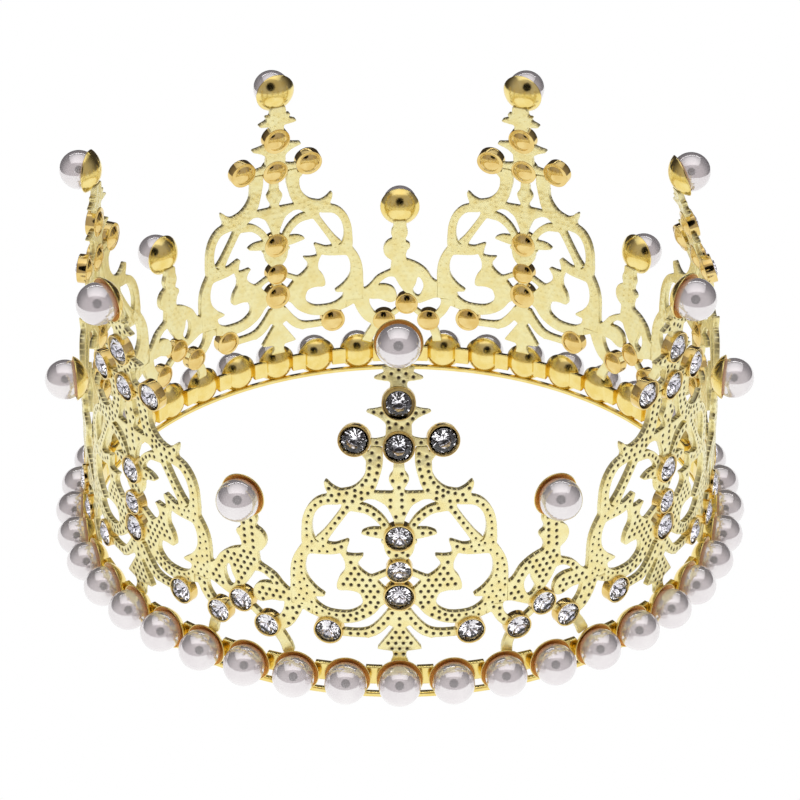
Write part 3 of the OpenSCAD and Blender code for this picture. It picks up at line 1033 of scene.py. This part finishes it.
def pearl_material():
    """Imitation pearl: milky body under a mirror-bright lilac lacquer."""
    n = Nodes("pearl_nacre")
    n.set(Metallic=0.58, Coat_Weight=0.6, Coat_Roughness=0.03, Coat_IOR=1.55)
    n.link(n.ramp(n.noise(240, 3), [(0.35, (0.84, 0.8, 0.81, 1)), (0.65, (0.9, 0.87, 0.87, 1))]),
           n.shader.inputs["Base Color"])
    n.link(n.scaled(n.noise(500, 2), 0.06, 0.12), n.shader.inputs["Roughness"])
    n.bump(n.noise(700, 3), 0.00003, 0.2)
    return n.material


def stone_material():
    """Rhinestone: clear glass facets that refract the studio's sparkle lights; the foil is a
    separate mesh.
    """
    n = Nodes("rhinestone_glass")
    n.set(Metallic=0.0, Roughness=0.0, IOR=1.6, Transmission_Weight=1.0)
    n.link(n.ramp(n.noise(300, 2), [(0.3, (0.93, 0.93, 0.97, 1)), (0.7, (1, 0.98, 1, 1))]),
           n.shader.inputs["Base Color"])
    return n.material


def foil_material():
    n = Nodes("stone_foil")
    n.set(Metallic=1.0)
    n.link(n.ramp(n.noise(500, 2), [(0.3, (0.8, 0.79, 0.82, 1)), (0.7, (0.9, 0.9, 0.92, 1))]),
           n.shader.inputs["Base Color"])
    n.link(n.scaled(n.noise(900, 2), 0.04, 0.1), n.shader.inputs["Roughness"])
    return n.material


GOLD = gold_material("crown_gold", (1, 0.93, 0.5), (0.96, 0.84, 0.38), 0.2, 0.45, dotted=True)
SETTING_GOLD = gold_material("setting_gold", (0.88, 0.68, 0.28), (0.78, 0.55, 0.18), 0.12, 1.0,
                             dotted=True)
CUP_GOLD = gold_material("cup_gold", (0.93, 0.77, 0.31), (0.88, 0.68, 0.21), 0.17, 0.8, inside=True)
PEARL = pearl_material()
STONE = stone_material()
FOIL = foil_material()

# ---- The crown ----

def leaned(points, lean):
    """Points of a crest bent by that angle about the line across its legs."""
    back, up = points[:, 1] + bend_r, points[:, 2] - bend_z
    t = np.clip(up / bend_length + 0.5, 0, 1)
    a = lean * t * t * (3 - 2 * t)
    made = points.copy()
    made[:, 1] = back * np.cos(a) + up * np.sin(a) - bend_r
    made[:, 2] = up * np.cos(a) - back * np.sin(a) + bend_z
    return made


def turned(name, mesh, angle, slot, *nodes, lean=0.0):
    """One piece at its place round the crown. It stands for the CAD nodes named."""
    made = mesh.copy()
    points = np.empty(3 * len(made.vertices))
    made.vertices.foreach_get("co", points)
    points = leaned(points.reshape(-1, 3) / MM, lean) * MM
    made.vertices.foreach_set("co", (points @ np.array(Matrix.Rotation(angle, 3, "Z")).T).ravel())
    made.update()
    piece = bpy.data.objects.new(name, made)
    bpy.context.scene.collection.objects.link(piece)
    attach(piece, "root")
    if nodes:
        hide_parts(*nodes)
    return piece


FOIL_GAP = 0.02
ROOM_STEPS = 40
PAST_SPIRE = 8


def foil_mesh(name, settings, stone_d, material):
    """Thin metal foil cones close under the stones."""
    parts = Parts()
    for x, z, _ in settings:
        r = stone_d / 2
        top = girdle_z - FOIL_GAP
        profile = [(0, top - PAVILION * stone_d), (r - FOIL_GAP / 2, top)]
        points, faces = revolved(profile, 16)
        parts.add(on_wall(points, x / wall_r, z, wall_r), [f[::-1] for f in faces])
    mesh = parts.mesh(name, material)
    mesh.shade_flat()
    return mesh


def whole_drawings():
    """The crest and the spire, each with the neighbours that it joins."""
    crest_only, spire_only = crest_drawing(), spire_drawing()
    crest, spire = Drawing(), Drawing()
    crest.place(crest_only)
    spire.place(spire_only)
    for side in (-1, 1):
        crest.place(spire_only, side * spire_x)
        spire.place(crest_only, side * spire_x)
    return crest, spire


def openwork(name, drawing, edge, settings, own_pearl, half_x, half_leg_x):
    """One crest's or spire's plate, with dots clear of the settings, the pearls and the seams."""
    pearls = [(0, z, DOT_FROM_PEARL) for z in own_pearl]
    dots = dots_of(drawing, edge, settings, pearls)
    dots = dots[seam_side(dots, half_x - DOT_FROM_SEAM, half_leg_x - DOT_FROM_SEAM)]
    return plate(name, drawing, edge, dots, half_x, half_leg_x, GOLD)


def beside(settings):
    """The settings of the castings on both sides."""
    return [(side * spire_x + x, z, r) for side in (-1, 1) for x, z, r in settings]


def stone_rooms(settings, stone_d):
    """Round openings under the stones."""
    return [circle(x, z, stone_d / 2, ROOM_STEPS) for x, z, _ in settings]


def family(kind, plate_mesh, settings, stone_d, pearl_z):
    """Pieces of a crest or spire: name, mesh, slot and the CAD node that it stands for."""
    return [
        (f"{kind}_openwork", plate_mesh, "gold", kind),
        (f"{kind}_bezels", settings_mesh(f"{kind}_settings", settings, stone_d, SETTING_GOLD),
         "gold", None),
        (f"{kind}_rhinestones", stones_mesh(f"{kind}_stones", settings, stone_d, STONE),
         "rhinestone", f"{kind}_stones"),
        (f"{kind}_foils", foil_mesh(f"{kind}_foils", settings, stone_d, FOIL),
         "rhinestone", None),
        (f"{kind}_cup", cup_mesh(f"{kind}_cup", pearl_z, CUP_GOLD), "cup_gold", None),
        (f"{kind}_bead", single(f"{kind}_pearl", pearl_shape(), pearl_z, PEARL),
         "pearl", f"{kind}_pearl"),
    ]


def place_family(pieces, k, angle, lean=0.0):
    for name, mesh, slot, node in pieces:
        turned(f"{name}_{k}", mesh, angle, slot, *([f"{node}_{k}"] if node else []), lean=lean)


def build_crown():
    crest, spire = whole_drawings()
    crest_edge = Edge(union_loops(crest.shapes, stone_rooms(CREST_SETTINGS, crest_stone_d)))
    spire_reach = spire_seam_x + PAST_SPIRE
    spire_edge = Edge([loop for loop in
                       union_loops(spire.shapes, stone_rooms(SPIRE_SETTINGS, spire_stone_d))
                       if loop[:, 0].min() < spire_reach and loop[:, 0].max() > -spire_reach])
    crest_plate = openwork("crest_openwork", crest, crest_edge,
                           CREST_SETTINGS + beside(SPIRE_SETTINGS),
                           [crest_pearl_z, band_pearl_z], seam_x, leg_x)
    spire_plate = openwork("spire_openwork", spire, spire_edge,
                           SPIRE_SETTINGS + beside(CREST_SETTINGS),
                           [spire_pearl_z], spire_seam_x, spire_leg_x)
    crests = family("crest", crest_plate, CREST_SETTINGS, crest_stone_d, crest_pearl_z)
    band = [("band_cups", band_mesh("band_cups", CUP_GOLD), "cup_gold", "band_segment"),
            ("band_beads", pearls_mesh("band_pearls", PEARL), "pearl", "band_pearls")]
    spires = family("spire", spire_plate, SPIRE_SETTINGS, spire_stone_d, spire_pearl_z)
    for k, lean in enumerate(LEANS, 1):
        at = (k - 1) * REPEAT_A
        place_family(crests, k, at, lean)
        place_family(band, k, at)
        place_family(spires, k, at + REPEAT_A / 2)
    turned("lower_hoop", hoop_mesh("lower_hoop", CUP_GOLD), 0, "gold", "base_hoop")


build_crown()

# ---- Floor, light and camera ----

CAMERA_AZIMUTH = math.radians(0.166)
CAMERA_ELEVATION = math.radians(28.88)
CAMERA_ROLL = math.radians(-0.214)
CAMERA_DISTANCE = 0.522
CAMERA_TARGET = Vector((0, 0, 0.03045))
CAMERA_LENS = 114.3
CAMERA_SHIFT = (0.0004, -0.0146)
FLOOR_R = 0.32
FLOOR_Z = -0.0002
OPENING_R = 0.23
OPENING_BACK = 1.06
FRONT_WALL = (0.46, 0.42, 0.43)
BACK_WALL = (0.045, 0.04, 0.045)
CEILING = (0.3, 0.29, 0.3)
SPARKLE = (1.7, 1.68, 1.7)
SPARKLE_GAP = (0.05, 0.045, 0.045)
SPARKLE_SCALE = 4.5
STRIP_ANGLE = math.radians(47)
STRIP_DISTANCE = 0.9


def emission(name, colour, strength):
    material = bpy.data.materials.new(name)
    material.use_nodes = True
    tree = material.node_tree
    tree.nodes.clear()
    glow = tree.nodes.new("ShaderNodeEmission")
    glow.inputs["Color"].default_value = (*colour, 1)
    glow.inputs["Strength"].default_value = strength
    out = tree.nodes.new("ShaderNodeOutputMaterial")
    tree.links.new(glow.outputs[0], out.inputs["Surface"])
    return material


def disc_object(name, radius, material, n=96):
    mesh = bpy.data.meshes.new(name)
    rim = [(x, y, 0) for x, y in circle(0, 0, radius, n).tolist()]
    mesh.from_pydata(rim, [], [tuple(range(n))])
    mesh.materials.append(material)
    made = bpy.data.objects.new(name, mesh)
    bpy.context.scene.collection.objects.link(made)
    return made


def build_stage(camera):
    floor = disc_object("floor", FLOOR_R, emission("pale_floor", (1, 1, 1), 1.0))
    floor.location.z = FLOOR_Z
    shade = disc_object("dark_opening", OPENING_R, emission("dark_cloth", (0, 0, 0), 0.0))
    shade.location = camera.location * OPENING_BACK
    shade.rotation_mode = "QUATERNION"
    shade.rotation_quaternion = camera.rotation_quaternion
    shade.visible_camera = False
    shade.visible_diffuse = False


def area_light(name, place, size, energy):
    """A rectangle of light that looks at the crown's middle."""
    light = bpy.data.lights.new(name, "AREA")
    light.shape = "RECTANGLE"
    light.size, light.size_y = size
    light.energy = energy
    lamp = bpy.data.objects.new(name, light)
    bpy.context.scene.collection.objects.link(lamp)
    lamp.location = place
    lamp.rotation_mode = "QUATERNION"
    lamp.rotation_quaternion = (Vector(place) - CAMERA_TARGET).to_track_quat("Z", "Y")
    lamp.visible_camera = False
    return lamp


def build_light():
    area_light("overhead_softbox", (0, 0.1, 0.9), (1.6, 1.0), 2.6)
    fill = area_light("front_fill", (0, -0.95, 0.3), (0.8, 0.5), 6.2)
    fill.visible_glossy = False
    fill.visible_transmission = False
    behind, above = math.cos(STRIP_ANGLE), math.sin(STRIP_ANGLE)
    area_light("strip_behind", (0, STRIP_DISTANCE * behind, STRIP_DISTANCE * above),
               (1.3, 0.035), 0.5)


def build_world():
    """White to the eye; to all that mirrors it a dim studio, paler in front and overhead."""
    world = bpy.data.worlds.new("studio")
    bpy.context.scene.world = world
    world.use_nodes = True
    tree = world.node_tree
    tree.nodes.clear()

    def add(kind, **settings):
        made = tree.nodes.new(kind)
        for key, value in settings.items():
            setattr(made, key, value)
        return made

    def ramp(value, low, high, low_colour, high_colour):
        spread = add("ShaderNodeMapRange", interpolation_type="SMOOTHSTEP")
        made = add("ShaderNodeValToRGB")
        spread.inputs["From Min"].default_value = low
        spread.inputs["From Max"].default_value = high
        made.color_ramp.elements[0].color = (*low_colour, 1)
        made.color_ramp.elements[1].color = (*high_colour, 1)
        tree.links.new(value, spread.inputs["Value"])
        tree.links.new(spread.outputs["Result"], made.inputs["Fac"])
        return made.outputs["Color"]

    place, split = add("ShaderNodeTexCoord"), add("ShaderNodeSeparateXYZ")
    tree.links.new(place.outputs["Generated"], split.inputs[0])
    walls = ramp(split.outputs["Y"], -0.6, 0.6, FRONT_WALL, BACK_WALL)
    ceiling = ramp(split.outputs["Z"], 0.72, 0.97, (0, 0, 0), CEILING)
    both = add("ShaderNodeMix", data_type="RGBA", blend_type="ADD")
    both.inputs[0].default_value = 1
    tree.links.new(walls, both.inputs[6])
    tree.links.new(ceiling, both.inputs[7])
    studio, white = add("ShaderNodeBackground"), add("ShaderNodeBackground")
    white.inputs["Color"].default_value = (1, 1, 1, 1)
    path, out = add("ShaderNodeLightPath"), add("ShaderNodeOutputWorld")
    lamps, cells = add("ShaderNodeBackground"), add("ShaderNodeTexVoronoi")
    cells.inputs["Scale"].default_value = SPARKLE_SCALE
    tree.links.new(place.outputs["Generated"], cells.inputs["Vector"])
    tree.links.new(ramp(cells.outputs["Distance"], 0.46, 0.54, SPARKLE, SPARKLE_GAP),
                   lamps.inputs["Color"])
    seen, through = add("ShaderNodeMixShader"), add("ShaderNodeMixShader")
    for a, b in ((both.outputs[2], studio.inputs["Color"]),
                 (path.outputs["Is Transmission Ray"], through.inputs[0]),
                 (studio.outputs[0], through.inputs[1]), (lamps.outputs[0], through.inputs[2]),
                 (path.outputs["Is Camera Ray"], seen.inputs[0]),
                 (through.outputs[0], seen.inputs[1]), (white.outputs[0], seen.inputs[2]),
                 (seen.outputs[0], out.inputs["Surface"])):
        tree.links.new(a, b)


def build_camera():
    data = bpy.data.cameras.new("camera")
    data.lens = CAMERA_LENS
    data.sensor_width = 36
    data.shift_x, data.shift_y = CAMERA_SHIFT
    data.clip_start, data.clip_end = 0.01, 20
    camera = bpy.data.objects.new("camera", data)
    bpy.context.scene.collection.objects.link(camera)
    bpy.context.scene.camera = camera
    back = Vector((math.sin(CAMERA_AZIMUTH) * math.cos(CAMERA_ELEVATION),
                   -math.cos(CAMERA_AZIMUTH) * math.cos(CAMERA_ELEVATION),
                   math.sin(CAMERA_ELEVATION)))
    camera.rotation_mode = "QUATERNION"
    camera.location = CAMERA_TARGET + back * CAMERA_DISTANCE
    camera.rotation_quaternion = (back.to_track_quat("Z", "Y").to_matrix()
                                  @ Matrix.Rotation(CAMERA_ROLL, 3, "Z")).to_quaternion()
    return camera


build_world()
build_light()
build_stage(build_camera())
bpy.context.scene.view_settings.view_transform = "Standard"
